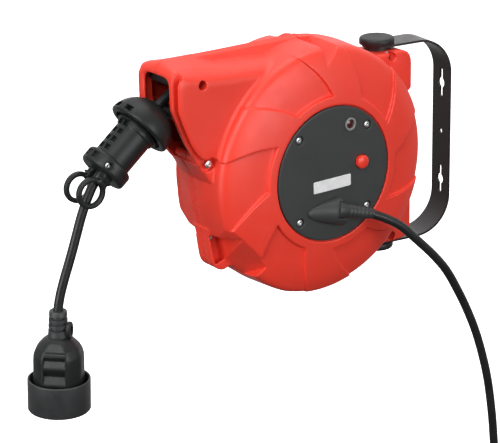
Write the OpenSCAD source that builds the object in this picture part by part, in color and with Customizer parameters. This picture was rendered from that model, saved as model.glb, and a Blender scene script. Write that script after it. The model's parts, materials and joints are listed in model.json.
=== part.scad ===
// Wall-mounted extension cord reel with a spring-driven spool.
//
// Row frame: the origin is on the bracket's back face, midway between its two
// slots. +X points into the wall, +Z up, and the spool's axis is close to Y.
// Everything inside in_reel() is drawn in the reel's own frame: its origin is
// the middle of the spool, with the black side cover facing -Y.

/* [Housing] */
// Radius of the drum at the seam between its halves
belly_r = 127; // [124:0.5:130]
// Radius of the rim, where the drum's side meets its face
rim_r = 122.5; // [121:0.5:124]
// Width across both halves
housing_w = 118; // [116:1:122]
// Wall thickness of the halves
wall = 3; // [2.5:0.1:3.2]
// Outer radius of the flat ring round the side cover
ring_r = 78; // [76:1:82]
// Radius of the opening for the side cover
opening_r = 68.5; // [68:0.1:69]
// Depth of the recessed panels between the blades
blade_depth = 2; // [1:0.1:2.2]

/* [Cable duct] */
// Height of the duct's top over the spool's axis
duct_top = 128; // [126:0.5:130]
// Half of the duct's outer width
duct_half = 35; // [34:0.5:38]
// Distance from the spool's axis to the duct's front
duct_reach = 165; // [163:1:170]
// Half of the width of the cable mouth
mouth_half = 20.5; // [18:0.5:22]
// Radius of the two guide rollers
roller_r = 6.5; // [5:0.5:7]

/* [Bracket] */
// Width of the bracket's strap
strap_w = 30; // [26:1:34]
// Thickness of the strap
strap_t = 2.4; // [2:0.1:3]
// Height of the bracket over its two arms
strap_h = 212; // [211.5:0.1:213]
// Distance from the wall to the pivot's axis
pivot_reach = 82; // [78:1:90]
// Outer radius of the strap's two corners
strap_corner = 40; // [30:1:45]
// Distance between the centres of the two slots
slot_spacing = 105; // [95:1:110]
// Length of each slot
slot_length = 31; // [26:1:34]
// Width of each slot
slot_w = 5; // [4:0.5:5.5]
// Radius of the round middle of each slot
slot_eye_r = 5.5; // [4.5:0.5:6]
// Radius of the small hole in the strap's middle
centre_hole_r = 2.75; // [2:0.25:3]
// Angle that the reel is turned on its pivot
swivel = 7; // [-20:1:20]

/* [Spool] */
// Radius of the two flanges
flange_r = 108; // [104:1:109]
// Outer radius of the hub
hub_r = 45; // [40:1:48]
// Radius of the full winding
winding_r = 98; // [90:1:98]
// Radius of the fixed axle
axle_r = 7; // [6.5:0.1:7]

/* [Cables] */
// Diameter of the outlet cable
outlet_d = 9.2; // [8.8:0.1:9.2]
// Diameter of the feed cord
feed_d = 9; // [8.4:0.1:9]

/* [Hidden] */

gap = 0.05;          // radial clearance of pins, shafts and screws
air = 0.3;           // gap between bodies that only pass each other
half_w = housing_w / 2;
cover_t = 3;
pivot_x = 102;       // pivot's axis, from the spool's axis
reel_lift = 3.5;     // spool's axis over the middle of the bracket
arm_z = strap_h / 2 - strap_t;                   // inner face of an arm
lug_z = arm_z - 2.8;                             // face of a pivot lug
cap_r = 17.3;
cap_t = 6.5;
pin_r = 6;
bush_r = 9;
screw_r = 2;
cover_screw_at = 42;
ledge_r = 52;        // inner radius of the ledge that the covers are screwed to
lug_half = 25;
lug_x = 128;
lug_low = 57;
// The last two hold the pivot bushes, and the others join the halves
shell_screw_at = [[-127, 31.5], [-136, 109], [-116, -55.5], [102, 93], [102, -98]];
shell_screw_head_y = [-30, -30, -10, -21, -21];
shell_screw_length = [38, 38, 18, 9, 9];

// Feed cord, from inside the gland to the coil, and from the coil to the plug
feed_route = [
    [3, -69, -35.5], [14, -72.5, -37.5], [26, -77, -41], [44, -83, -49], [61, -88, -60],
    [78, -92, -77], [97.5, -95, -97], [115, -96, -118], [130.5, -96, -143],
    [143.5, -96, -167], [156, -96, -194], [167, -96, -225], [176, -96, -258],
    [183, -96, -298], [187.5, -96, -336], [192, -96, -362], [201, -96, -386],
    [212, -96, -410], [220, -96, -436]
];
tail_route = [[220, -69, -442], [220, -69, -465], [220, -69, -488], [220, -69, -512]];
coil_at = [170, -82.5, -440];
coil_r = 50;         // at the middle of the turns
coil_w = 4 * feed_d; // three turns, with the ends side by side
plug_at = [220, -69, -500];

// Outlet cable, from the winding through the mouth and the stopper to the socket
outlet_route = [
    [-36, 0, 101], [-58, 0, 102], [-82, 0, 103], [-106, 0, 104], [-126, 0, 103.5],
    [-141, 0, 100.8], [-152.7, 0, 94.9], [-165, 0, 86], [-188.3, 0, 67.4],
    [-211.6, 0, 48.8], [-228.4, 0, 35.4], [-235.5, 0, 29], [-242, 0, 20.3],
    [-248.3, 0, 8.5], [-253.8, 0, -4], [-259, 0, -18], [-264.5, 0, -33],
    [-270.4, 0, -48], [-276, 0, -62], [-280.8, 0, -76], [-283.7, 0, -89],
    [-284.3, 0, -102], [-284.75, 0, -112]
];

// Stopper: its frame stands on the dome's base, +Z towards the mouth
stopper_at = [-188.3, 0, 67.4];
stopper_tilt = atan2(23.3, 18.6);
dome_r = 32;
dome_h = 30;
stopper_r = 18;
stopper_l = 37;
stopper_flange_r = 24.5;
stopper_low = -stopper_l - 15;   // outer face of the flange
ring_at = [-248.5, 11, 22];
ring_mid_r = 12.8;
ring_t = 2.5;

socket_x = -287.5;
socket_hub_z = -175;  // the socket leans about this height
socket_lean = 2.5;
boot_top = -89;
boot_low = -113.5;
grip_r = 24.5;
grip_low = -186;
collar_r = 30.3;
collar_top = -158;
collar_low = -188;

upper_roller_at = [-149.5, 110.5];
lower_roller_at = [-150, 78.5];

// Places along the spool's axis (Y)
front_flange_y = -34;
rear_flange_y = 20;
flange_t = 3;
case_low_y = 23;
case_high_y = 48;
case_r = 80;

button_at = [34, 6];
button_r = 6.8;
button_stem_r = 4;
lens_at = [20, 47];

ratchet_r = 74;
pawl_at = [0, 84];

$fn = 96;

// ---------- helpers ----------

// Puts the reel's own frame into the row frame, turned on its pivot
module in_reel() translate([-pivot_reach, 0, reel_lift]) rotate([0, 0, swivel])
    translate([-pivot_x, 0, 0]) children();

// Points of an arc round c, from angle a to angle b
function arc(c, r, a, b, n = 8) = [
    for (i = [0:n]) [c[0] + r * cos(a + (b - a) * i / n), c[1] + r * sin(a + (b - a) * i / n)]
];

// A drawing in (x, z), extruded along Y from y0 to y1
module slab(y0, y1) translate([0, y1, 0]) rotate([90, 0, 0]) linear_extrude(y1 - y0) children();

// A cylinder along Y at (x, z), from y0 to y1
module rod(at, y0, y1, r) slab(y0, y1) translate(at) circle(r);

// A profile in (radius, depth) turned round the spool's axis; depth goes to -Y
module turned() rotate([90, 0, 0]) rotate_extrude($fn = 120) children();

// Children's +Z axis laid from a towards b
module along(a, b) {
    d = b - a;
    translate(a) rotate([0, acos(d[2] / norm(d)), atan2(d[1], d[0])]) children();
}

module tube(r, r_in, h) difference() {
    cylinder(r = r, h = h);
    translate([0, 0, -1]) cylinder(r = r_in, h = h + 2);
}

// A round cord swept along a route: one ring of points at each route point
module cord(route, d, sides = 10) {
    last = len(route) - 1;
    rings = [for (i = [0:last])
        let (t = route[min(i + 1, last)] - route[max(i - 1, 0)],
             n = cross(t, [0, 1, 0]) / norm(cross(t, [0, 1, 0])),
             m = cross(n, t) / norm(t))
        for (k = [0:sides - 1])
            route[i] + d / 2 * (n * cos(360 * k / sides) + m * sin(360 * k / sides))];
    walls = [for (i = [0:last - 1], k = [0:sides - 1], h = [0, 1])
        let (a = i * sides + k, b = i * sides + (k + 1) % sides)
        h == 0 ? [a, b + sides, b] : [a, a + sides, b + sides]];
    polyhedron(rings, concat([[for (k = [0:sides - 1]) k]], walls,
                             [[for (k = [sides - 1:-1:0]) last * sides + k]]));
}

module screw(at, y, head_r, length) {
    rod(at, y - 2, y, head_r);
    rod(at, y, y + length, screw_r);
}

// ---------- housing halves ----------

// Half of the drum's section: t insets it all over, sunk lowers the face only
function drum_section(t, sunk = 0) = [
    [0, -1], [belly_r - t, -1], [belly_r - 2 - t, 22], [rim_r - t, half_w - 16 - t / 2],
    [rim_r - 3.5 - t - sunk, half_w - 12 - t], [112 - t / 2, half_w - 8.5 - t - sunk],
    [ring_r, half_w - t - sunk], [0, half_w - t - sunk]
];

// Duct seen from the side, inset by t
function duct_outline(t) = concat(
    [[0, 20], [0, duct_top - t]],
    arc([18 - duct_reach, duct_top - 18], 18 - t, 90, 180),
    [[t - duct_reach, 88], [t - 160, 74], [t - 149, 56], [t - 133, 28], [t - 121, 10]]);

function lug_outline() = concat(
    [[60, 40], [60, lug_z - reel_lift]],
    arc([lug_x - 13, lug_z - reel_lift - 13], 13, 90, 0), [[lug_x, lug_low], [100, 40]]);

// One blade: a wedge from the ring outwards, swept towards the rim
module blade(start, width) polygon(concat(
    [for (i = [0:4]) (ring_r - 4 + 13 * i) * [cos(start + 4 * i), sin(start + 4 * i)]],
    [for (i = [4:-1:0]) (ring_r - 4 + 13 * i)
        * [cos(start + width + 4 * i), sin(start + width + 4 * i)]]));

module drum_half() {
    turned() polygon(drum_section(0, blade_depth));
    intersection() {
        turned() polygon(drum_section(0));
        union() {
            slab(-half_w, 0) for (k = [0:5]) blade(60 * k + 3, 26);
            rod([0, 0], -half_w, 0, ring_r);
            slab(-26, 0) circle(belly_r + 1);
        }
    }
}

// Solid half with everything that stands out of the drum
module half_outside() {
    drum_half();
    slab(-duct_half, 0) polygon(duct_outline(0));
    slab(-lug_half, 0) polygon(lug_outline());
    slab(-lug_half, 0) mirror([0, 1])
        polygon([for (p = lug_outline()) [p[0], p[1] + 2 * reel_lift]]);
    slab(-14, 0) polygon([[-100, -40], [-121, -42], [-122, -62], [-119, -77], [-114, -83],
                          [-108, -86.5], [-102, -86], [-88, -78]]);
}

module half_inside() {
    turned() polygon(drum_section(wall, blade_depth));
    slab(wall - duct_half, 1) polygon(duct_outline(wall + 1));
}

module screw_bosses() for (i = [0:len(shell_screw_at) - 1])
    rod(shell_screw_at[i], shell_screw_head_y[i], 0, 6);

// One housing half, front side
module housing_half() difference() {
    union() {
        difference() {
            half_outside();
            half_inside();
        }
        intersection() {
            screw_bosses();
            half_outside();
        }
        difference() {
            rod([0, 0], -half_w + cover_t, -half_w + 2 * cover_t, ring_r);
            rod([0, 0], -half_w, 0, ledge_r);
        }
        intersection() {
            slab(-lug_half, 0) translate([pivot_x, 0]) square([28, 2 * belly_r], center = true);
            half_outside();
            difference() {
                slab(-half_w, 1) circle(2 * belly_r);
                rod([0, 0], -half_w, 1, flange_r + 6);
            }
        }
    }
    rod([0, 0], -half_w - 1, -half_w + cover_t, opening_r);
    rod([0, 0], -half_w, -half_w + 3 * cover_t, ledge_r);
    slab(0, 2) square(600, center = true);
    slab(-mouth_half, 1) translate([-duct_reach - 5, 36]) square([52, duct_top - 47]);
    for (x = [-1, 1], z = [-1, 1]) {
        rod(cover_screw_at * [x, z], -half_w, -half_w + 3 * cover_t, screw_r + gap);
    }
    for (i = [0:len(shell_screw_at) - 1]) {
        rod(shell_screw_at[i], -half_w, shell_screw_head_y[i], 4.5);
        rod(shell_screw_at[i], -half_w, shell_screw_head_y[i] + shell_screw_length[i], screw_r + gap);
    }
    for (at = [upper_roller_at, lower_roller_at]) rod(at, -duct_half + 1, 1, 2 + gap);
    translate([pivot_x, 0, -belly_r]) cylinder(r = bush_r + gap, h = 2 * belly_r);
}

module front_shell() color("tomato") in_reel() difference() {
    union() {
        housing_half();
        rod(pawl_at, -half_w + 4, -41, 6);
    }
    rod(pawl_at, -52, -40, 2.5 + gap);
}

module rear_shell() color("tomato") in_reel() mirror([0, 1, 0]) housing_half();

module shell_screws() color("silver") in_reel() for (i = [0:len(shell_screw_at) - 1])
    screw(shell_screw_at[i], shell_screw_head_y[i], 4, shell_screw_length[i]);

// ---------- bracket and pivots ----------

// The strap seen from the side, as a bent band
module strap_outline() {
    h = strap_h / 2;
    r = strap_corner;
    end = -pivot_reach - strap_w;
    polygon(concat(
        [[end, h]], arc([-r, h - r], r, 90, 0),
        arc([-r, r - h], r, 0, -90), [[end, -h], [end, strap_t - h]],
        arc([-r, r - h], r - strap_t, -90, 0), arc([-r, h - r], r - strap_t, 0, 90),
        [[end, h - strap_t]]));
}

module wall_slot(z) translate([0, 0, z]) rotate([0, 90, 0]) {
    for (s = [-1, 1]) translate([s * (slot_length - slot_w) / 2, 0, -strap_t - 1])
        cylinder(d = slot_w, h = strap_t + 2, $fn = 48);
    translate([0, 0, -strap_t / 2])
        cube([slot_length - slot_w, slot_w, strap_t + 2], center = true);
    translate([0, 0, -strap_t - 1]) cylinder(r = slot_eye_r, h = strap_t + 2, $fn = 48);
}

module wall_bracket() color("dimgray") difference() {
    intersection() {
        slab(-strap_w / 2, strap_w / 2) strap_outline();
        union() {
            translate([-pivot_reach, -strap_w / 2, -strap_h])
                cube([pivot_reach + 1, strap_w, 2 * strap_h]);
            translate([-pivot_reach, 0, -strap_h]) cylinder(d = strap_w, h = 2 * strap_h);
        }
    }
    wall_slot(slot_spacing / 2);
    wall_slot(-slot_spacing / 2);
    translate([-strap_t - 1, 0, 0]) rotate([0, 90, 0])
        cylinder(r = centre_hole_r, h = strap_t + 2, $fn = 48);
    translate([-pivot_reach, 0, -strap_h]) cylinder(r = pin_r + gap, h = 2 * strap_h);
}

// Cap with a rounded edge, over the pin's head
module pivot_cap() translate([-pivot_reach, 0, strap_h / 2]) rotate_extrude()
    polygon(concat([[0, 2.6], [pin_r + 2.6, 2.6], [pin_r + 2.6, 0], [cap_r, 0]],
                   arc([cap_r - 2.5, cap_t - 2.5], 2.5, 0, 90, 6), [[0, cap_t]]));

// Pin with a flat head on the strap, down into the housing's lug
module pivot_pin() translate([-pivot_reach, 0, 0]) {
    translate([0, 0, 62]) cylinder(r = pin_r, h = strap_h / 2 - 62);
    translate([0, 0, strap_h / 2]) cylinder(r = pin_r + 2.4, h = 2.4);
}

module pivot_bush() translate([-pivot_reach, 0, 0]) {
    translate([0, 0, 64]) tube(bush_r, pin_r + gap, lug_z - 64);
    translate([0, 0, lug_z]) tube(13, pin_r + gap, arm_z - lug_z - air);
}

module upper_cap() color([0.12, 0.12, 0.12]) pivot_cap();
module lower_cap() color([0.12, 0.12, 0.12]) mirror([0, 0, 1]) pivot_cap();
module upper_pivot_pin() color("silver") pivot_pin();
module lower_pivot_pin() color("silver") mirror([0, 0, 1]) pivot_pin();
module upper_bush() color([0.12, 0.12, 0.12]) pivot_bush();
module lower_bush() color([0.12, 0.12, 0.12]) mirror([0, 0, 1]) pivot_bush();

// ---------- side cover and what is on it ----------

module cover_disc() difference() {
    rod([0, 0], -half_w, -half_w + cover_t, opening_r - 0.5);
    for (x = [-1, 1], z = [-1, 1]) {
        rod(cover_screw_at * [x, z], -half_w - 1, -half_w + 1.2, 4);
        rod(cover_screw_at * [x, z], -half_w, 0, screw_r + gap);
    }
}

module cover_screw_set() for (x = [-1, 1], z = [-1, 1]) {
    rod(cover_screw_at * [x, z], -half_w - 0.8, -half_w + 1.2, 3.5);
    rod(cover_screw_at * [x, z], -half_w + 1.2, -half_w + 2.6 * cover_t, screw_r);
}

module side_cover() color([0.24, 0.25, 0.25]) in_reel() difference() {
    cover_disc();
    rod(button_at, -half_w - 1, 0, button_r + air);
    rod(lens_at, -half_w - 1, 0, 5.5);
}

module cover_screws() color("silver") in_reel() cover_screw_set();

module name_plate() color("gainsboro") in_reel()
    slab(-half_w - 0.6, -half_w) translate([-3, -9.5]) square([46, 12], center = true);

module indicator_bezel() color("darkgray") in_reel() difference() {
    union() {
        rod(lens_at, -half_w - 1.2, -half_w, 6.6);
        rod(lens_at, -half_w, -half_w + cover_t - air, 5.4);
    }
    rod(lens_at, -half_w - 2, 0, 4.5);
}

module indicator_lens() color("darkred") in_reel()
    rod(lens_at, -half_w - 0.6, -half_w + cover_t - air, 4.4);

module breaker_body() color([0.15, 0.15, 0.15]) in_reel() difference() {
    slab(-half_w + cover_t, -42) translate(button_at) square([18, 24], center = true);
    rod(button_at, -half_w, -half_w + cover_t + 2.6, button_r + air);
    rod(button_at, -half_w, -45, button_stem_r + gap);
}

module reset_button() color("red") in_reel() {
    translate([button_at[0], -half_w + 2, button_at[1]]) rotate([90, 0, 0]) rotate_extrude()
        polygon(concat([[0, 0], [button_r, 0]], arc([button_r - 2.4, 5.1], 2.4, 0, 80, 6), [[0, 7.9]]));
    rod(button_at, -half_w + 2, -48, button_stem_r);
}

// Shell-shaped boss that the feed cord leaves
module cord_gland() color([0.14, 0.14, 0.14]) in_reel() difference() {
    intersection() {
        hull($fn = 32) {
            translate([-30, -half_w, -35]) sphere(2);
            translate([-18, -half_w - 4, -37]) sphere(7);
            translate([-7, -half_w - 9, -36.5]) rotate([0, 90, 0]) cylinder(r = 12.5, h = 9);
        }
        slab(-half_w - 40, -half_w) square(200, center = true);
    }
    along(feed_route[0], feed_route[2]) translate([0, 0, -20])
        cylinder(d = feed_d + 2 * gap, h = 60);
}

// Tapered strain relief on the feed cord
module cord_relief() color([0.1, 0.1, 0.1]) in_reel()
    along(feed_route[0], feed_route[2]) difference() {
        cylinder(r1 = 8, r2 = 5.5, h = 31);
        translate([0, 0, -1]) cylinder(d = feed_d + 2 * gap, h = 40);
    }

// ---------- feed cord and plug ----------

module feed_cord() color([0.1, 0.1, 0.1]) in_reel() cord(feed_route, feed_d);

module feed_coil() color([0.1, 0.1, 0.1]) in_reel() translate(coil_at) rotate([90, 0, 0])
    rotate_extrude() translate([coil_r, 0]) square([feed_d + 0.2, coil_w], center = true);

module coil_tie() color("black") in_reel() translate(coil_at - [coil_r, 0, 0]) difference() {
    cube([feed_d + 5, coil_w + 5, 12], center = true);
    cube([feed_d + 2, coil_w + 2, 13], center = true);
}

module feed_tail() color([0.1, 0.1, 0.1]) in_reel() cord(tail_route, feed_d);

module plug_body() color([0.1, 0.1, 0.1]) in_reel() translate(plug_at) rotate([180, 0, 0])
    rotate_extrude() difference() {
        polygon(concat([[0, 0], [6.5, 0], [8, 22], [12, 26]],
                       arc([13, 34], 6, -50, 0, 4), [[19, 52], [17.5, 54], [0, 54]]));
        translate([0, -1]) square([feed_d / 2 + gap, 14]);
    }

module plug_pins() color("silver") in_reel() for (s = [-1, 1])
    translate(plug_at + [9.5 * s, 0, -54 - 19]) {
        cylinder(r1 = 1.6, r2 = 2.4, h = 1.5, $fn = 32);
        translate([0, 0, 1.5]) cylinder(r = 2.4, h = 17.5, $fn = 32);
    }

// ---------- rear cover ----------

module rear_cover() color([0.24, 0.25, 0.25]) in_reel() difference() {
    mirror([0, 1, 0]) union() {
        cover_disc();
        rod([0, 0], -half_w + cover_t, -half_w + 7, 14);
    }
    rod([0, 0], 40, half_w - 2, axle_r + gap);
}

module rear_cover_screws() color("silver") in_reel() mirror([0, 1, 0]) cover_screw_set();

// ---------- spool ----------

module axle() color("silver") in_reel() rod([0, 0], -54, half_w - 2, axle_r);

module spool_hub() color("dimgray") in_reel() difference() {
    rod([0, 0], front_flange_y + flange_t, rear_flange_y, hub_r);
    difference() {
        rod([0, 0], front_flange_y + flange_t + 4, rear_flange_y - 4, hub_r - 3);
        rod([0, 0], -half_w, half_w, 14);
    }
    rod([0, 0], -half_w, half_w, axle_r + 3 + gap);
}

module spool_flange(y) difference() {
    rod([0, 0], y, y + flange_t, flange_r);
    rod([0, 0], y - 1, y + 20, axle_r + 3);
}

module spool_front_flange() color("gray") in_reel() spool_flange(front_flange_y);
module spool_rear_flange() color("gray") in_reel() spool_flange(rear_flange_y);

module spool_bush(y) difference() {
    rod([0, 0], y, y + 12, axle_r + 3);
    rod([0, 0], y - 1, y + 13, axle_r + gap);
}

module front_bush() color("goldenrod") in_reel() spool_bush(front_flange_y + flange_t);
module rear_bush() color("goldenrod") in_reel() spool_bush(rear_flange_y - 12);

module wound_cable() color([0.12, 0.12, 0.12]) in_reel() difference() {
    rod([0, 0], front_flange_y + flange_t + air, rear_flange_y - air, winding_r);
    rod([0, 0], -half_w, half_w, hub_r + air);
}

module slip_ring_disc() color("beige") in_reel() difference() {
    rod([0, 0], front_flange_y - 4.5, front_flange_y, 25);
    rod([0, 0], -half_w, 0, axle_r + 2);
}

module slip_rings() color("gold") in_reel() for (r = [12, 16, 20]) difference() {
    rod([0, 0], front_flange_y - 5.5, front_flange_y - 4.5, r + 2);
    rod([0, 0], -half_w, 0, r);
}

module brush_holder() color("beige") in_reel() difference() {
    rod([0, 0], -half_w + cover_t, -43.5, 23);
    rod([0, 0], -55, 0, axle_r + gap);
    for (i = [0:2]) rod((13 + 4 * i) * [cos(120 * i + 90), sin(120 * i + 90)], -52, 0, 1.2 + gap);
}

module brushes() color("darkgoldenrod") in_reel() for (i = [0:2])
    rod((13 + 4 * i) * [cos(120 * i + 90), sin(120 * i + 90)], -51, front_flange_y - 5.5 - air, 1.2);

module spring_case() color("lightgray") in_reel() difference() {
    rod([0, 0], case_low_y, case_high_y, case_r);
    rod([0, 0], case_low_y + 2, case_high_y + 1, case_r - 2);
    rod([0, 0], 0, case_high_y, 15);
}

module spring_lid() color("lightgray") in_reel() difference() {
    rod([0, 0], case_high_y, case_high_y + 1.5, case_r);
    rod([0, 0], 0, half_w, 15);
}

// Flat spiral spring, wound from the arbor out to the case
module power_spring() color("steelblue") in_reel() slab(case_low_y + 3, case_high_y - 1) {
    turns = 7;
    steps = 16 * turns;
    spiral = function(t, side) (18 + 57 * t + side) * [cos(360 * turns * t), sin(360 * turns * t)];
    polygon(concat([for (i = [0:steps]) spiral(i / steps, 0)],
                   [for (i = [steps:-1:0]) spiral(i / steps, 1)]));
}

module spring_arbor() color("silver") in_reel() difference() {
    rod([0, 0], case_low_y + 3, case_high_y - 1, 13);
    rod([0, 0], 0, half_w, axle_r + gap);
}

// Ring with pockets that the pawl drops into
module ratchet_ring() color("gray") in_reel() slab(front_flange_y - 4, front_flange_y) difference() {
    circle(ratchet_r);
    circle(ratchet_r - 14);
    for (k = [0:11]) rotate(103 + 30 * k) translate([ratchet_r - 3, 0]) square([16, 20], center = true);
}

module pawl() color("orange") in_reel() difference() {
    slab(front_flange_y - 4, front_flange_y - 0.5) translate(pawl_at) union() {
        circle(5.5);
        polygon([[0, 5], [-24, -5], [-22, -9], [-16, -8], [0, -5]]);
    }
    rod(pawl_at, -half_w, 0, 2.5 + gap);
}

module pawl_pin() color("silver") in_reel() rod(pawl_at, -51, front_flange_y - 0.5, 2.5);

// ---------- mouth rollers ----------

module roller(at) difference() {
    rod(at, air - duct_half + wall, duct_half - wall - air, roller_r);
    rod(at, -duct_half, duct_half, 2 + gap);
}

module upper_roller() color([0.12, 0.12, 0.12]) in_reel() roller(upper_roller_at);
module lower_roller() color([0.12, 0.12, 0.12]) in_reel() roller(lower_roller_at);

module roller_pins() color("silver") in_reel()
    for (at = [upper_roller_at, lower_roller_at]) rod(at, 1.5 - duct_half, duct_half - 1.5, 2);

// ---------- outlet cable with its stopper ----------

module stopper_half() {
    difference() {
        translate(stopper_at) rotate([0, stopper_tilt, 0]) rotate_extrude() difference() {
            polygon(concat(
                [[0, stopper_low], [stopper_flange_r - 2, stopper_low]],
                [[stopper_flange_r, stopper_low + 2], [stopper_flange_r, -stopper_l - 2]],
                [[stopper_flange_r - 2, -stopper_l], [stopper_r, -stopper_l]],
                [[stopper_r, 0], [dome_r - 1, 0]],
                [for (a = [2:8:86]) [dome_r * cos(a), 1 + (dome_h - 1) * sin(a)]], [[0, dome_h]]));
            translate([0, -100]) square([outlet_d / 2 + gap, 200]);
        }
        slab(-air / 2, 100) square(1000, center = true);
        along(stopper_screw_foot(), stopper_screw_foot() - [0, 1, 0]) cylinder(r = 1.5 + gap, h = 60);
    }
    translate(ring_at - [0, 2 * ring_at[1], 0]) rotate([90, 0, 0])
        rotate_extrude($fn = 48) translate([ring_mid_r, 0]) circle(ring_t, $fn = 24);
    along(ring_neck(0), ring_neck(1)) cylinder(r = 4, h = norm(ring_neck(1) - ring_neck(0)), $fn = 32);
}

// Ends of the neck between the flange and the ring
function ring_neck(i) = stopper_at - (49 + 12 * i) * [sin(stopper_tilt), 0, cos(stopper_tilt)]
    - [0, ring_at[1], 0];
function stopper_screw_foot() = stopper_at - 44 * [sin(stopper_tilt), 0, cos(stopper_tilt)]
    + 12 * [-cos(stopper_tilt), 0, sin(stopper_tilt)];

module front_stopper_half() color([0.2, 0.21, 0.21]) in_reel() stopper_half();
module rear_stopper_half() color([0.2, 0.21, 0.21]) in_reel() mirror([0, 1, 0]) stopper_half();

module stopper_screws() color("silver") in_reel() {
    foot = stopper_screw_foot();
    rod([foot[0], foot[2]], -20, 16, 1.5);
}

module outlet_cable() color([0.1, 0.1, 0.1]) in_reel() cord(outlet_route, outlet_d);

// ---------- socket on the cable's end ----------

// Children drawn with +Z down from the socket's boot
module in_socket() in_reel() translate([socket_x, 0, socket_hub_z])
    rotate([0, socket_lean, 0]) translate([0, 0, -socket_hub_z]) children();

module socket_boot() color([0.1, 0.1, 0.1]) in_socket() difference() {
    rotate_extrude() polygon(concat(
        [[0, boot_top], [7, boot_top], [7.8, boot_top - 1.5], [8.2, boot_top - 5.5]],
        [for (k = [0:2], p = [[7.4, 0], [7.4, -2], [8.8, -2.2], [9, -5]])
            [p[0] + 0.2 * k, boot_top - 6 + p[1] - 5.6 * k]],
        [[9.4, boot_low], [0, boot_low]]));
    translate([0, 0, boot_low - 1]) cylinder(d = outlet_d + 2 * gap, h = 40);
}

module socket_body() color([0.1, 0.1, 0.1]) in_socket() difference() {
    rotate_extrude() polygon([
        [0, boot_low], [11, boot_low], [16.5, -118], [22, -124], [grip_r, -132],
        [grip_r, grip_low], [21, grip_low], [21, grip_low + 20], [0, grip_low + 20]]);
    for (s = [-1, 1], z = [-146, -162]) translate([0, s * (grip_r + 1), z])
        cube([24, 5, 5], center = true);
}

// Round insert: a recess for the plug's face, with two holes for its pins
module socket_insert() color([0.16, 0.16, 0.16]) in_socket() difference() {
    translate([0, 0, grip_low]) cylinder(r = 20.9, h = 19.9);
    translate([0, 0, grip_low - 1]) cylinder(r = 19.5, h = 15);
    for (s = [-1, 1]) translate([9.5 * s, 0, grip_low]) cylinder(r = 2.6, h = 30, $fn = 32);
    translate([0, 9, grip_low]) cylinder(r = 2.4 + gap, h = 30, $fn = 32);
}

module socket_contacts() color("gold") in_socket() for (s = [-1, 1])
    translate([9.5 * s, 0, grip_low + 18.1]) cylinder(r = 2.4, h = 1.5, $fn = 32);

module earth_pin() color("silver") in_socket() translate([0, 9, grip_low + 1]) {
    cylinder(r = 2.4, h = 18, $fn = 32);
}

// Splash collar round the socket's mouth
module socket_collar() color([0.12, 0.12, 0.12]) in_socket() difference() {
    translate([0, 0, collar_low]) tube(collar_r, grip_r + 0.1, collar_top - collar_low);
    translate([0, 0, collar_low + 16]) tube(collar_r - 2, grip_r - 1, 30);
    translate([0, 0, collar_low - 1]) tube(collar_r - 2, grip_r - 1, 12);
}

wall_bracket();
upper_cap();
lower_cap();
upper_pivot_pin();
lower_pivot_pin();
upper_bush();
lower_bush();
front_shell();
rear_shell();
shell_screws();
side_cover();
cover_screws();
name_plate();
indicator_bezel();
indicator_lens();
breaker_body();
reset_button();
cord_gland();
cord_relief();
feed_cord();
feed_coil();
coil_tie();
feed_tail();
plug_body();
plug_pins();
rear_cover();
rear_cover_screws();
axle();
spool_hub();
spool_front_flange();
spool_rear_flange();
front_bush();
rear_bush();
wound_cable();
slip_ring_disc();
slip_rings();
brush_holder();
brushes();
spring_case();
spring_lid();
power_spring();
spring_arbor();
ratchet_ring();
pawl();
pawl_pin();
upper_roller();
lower_roller();
roller_pins();
front_stopper_half();
rear_stopper_half();
stopper_screws();
outlet_cable();
socket_boot();
socket_body();
socket_insert();
socket_contacts();
earth_pin();
socket_collar();
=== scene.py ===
import json
import math

import bpy
import numpy as np
from mathutils import Matrix, Vector


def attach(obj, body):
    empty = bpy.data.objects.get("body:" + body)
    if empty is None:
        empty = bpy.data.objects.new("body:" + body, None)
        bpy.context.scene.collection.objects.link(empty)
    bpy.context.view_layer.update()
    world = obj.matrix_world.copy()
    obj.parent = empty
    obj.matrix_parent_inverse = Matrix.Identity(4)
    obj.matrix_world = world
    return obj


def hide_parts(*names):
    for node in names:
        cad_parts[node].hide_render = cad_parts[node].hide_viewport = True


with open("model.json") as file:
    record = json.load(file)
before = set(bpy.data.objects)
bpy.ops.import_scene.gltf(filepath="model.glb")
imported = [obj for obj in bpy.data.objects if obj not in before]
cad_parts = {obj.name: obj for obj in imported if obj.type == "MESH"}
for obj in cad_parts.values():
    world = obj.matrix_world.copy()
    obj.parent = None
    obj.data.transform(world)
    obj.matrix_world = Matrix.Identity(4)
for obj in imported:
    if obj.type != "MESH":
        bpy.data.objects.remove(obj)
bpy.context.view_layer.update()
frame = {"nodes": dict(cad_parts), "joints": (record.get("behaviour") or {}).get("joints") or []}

# Lengths are millimetres, in the reel's own frame unless a comment says otherwise: its origin is
# the middle of the spool, with the side cover facing -Y, +X towards the wall and +Z up.
MM = 0.001
JOINTS = {j["name"]: j for j in frame["joints"]}


def reel_matrix():
    """The reel's own frame in the row frame, from the spool's joint"""
    spin = JOINTS["spool_spin"]
    y = -Vector(spin["axis"]).normalized()
    z = Vector((0, 0, 1))
    matrix = Matrix((y.cross(z), y, z)).transposed().to_4x4()
    matrix.translation = Vector(spin["pos_m"])
    return matrix


REEL = reel_matrix()
ROW = Matrix.Identity(4)


def row_point(point):
    return REEL @ (Vector(point) * MM)


def put(name, data):
    """A new object in the scene"""
    obj = bpy.data.objects.new(name, data)
    bpy.context.scene.collection.objects.link(obj)
    return obj


def new_node(tree, kind, **inputs):
    """A shader node with its inputs set, or linked where the value is a socket"""
    node = tree.nodes.new("ShaderNode" + kind)
    for key, value in inputs.items():
        socket = node.inputs[key.replace("_", " ")]
        if isinstance(value, bpy.types.NodeSocket):
            tree.links.new(value, socket)
        else:
            socket.default_value = value
    return node


# ---------- camera, light and floor ----------

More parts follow.
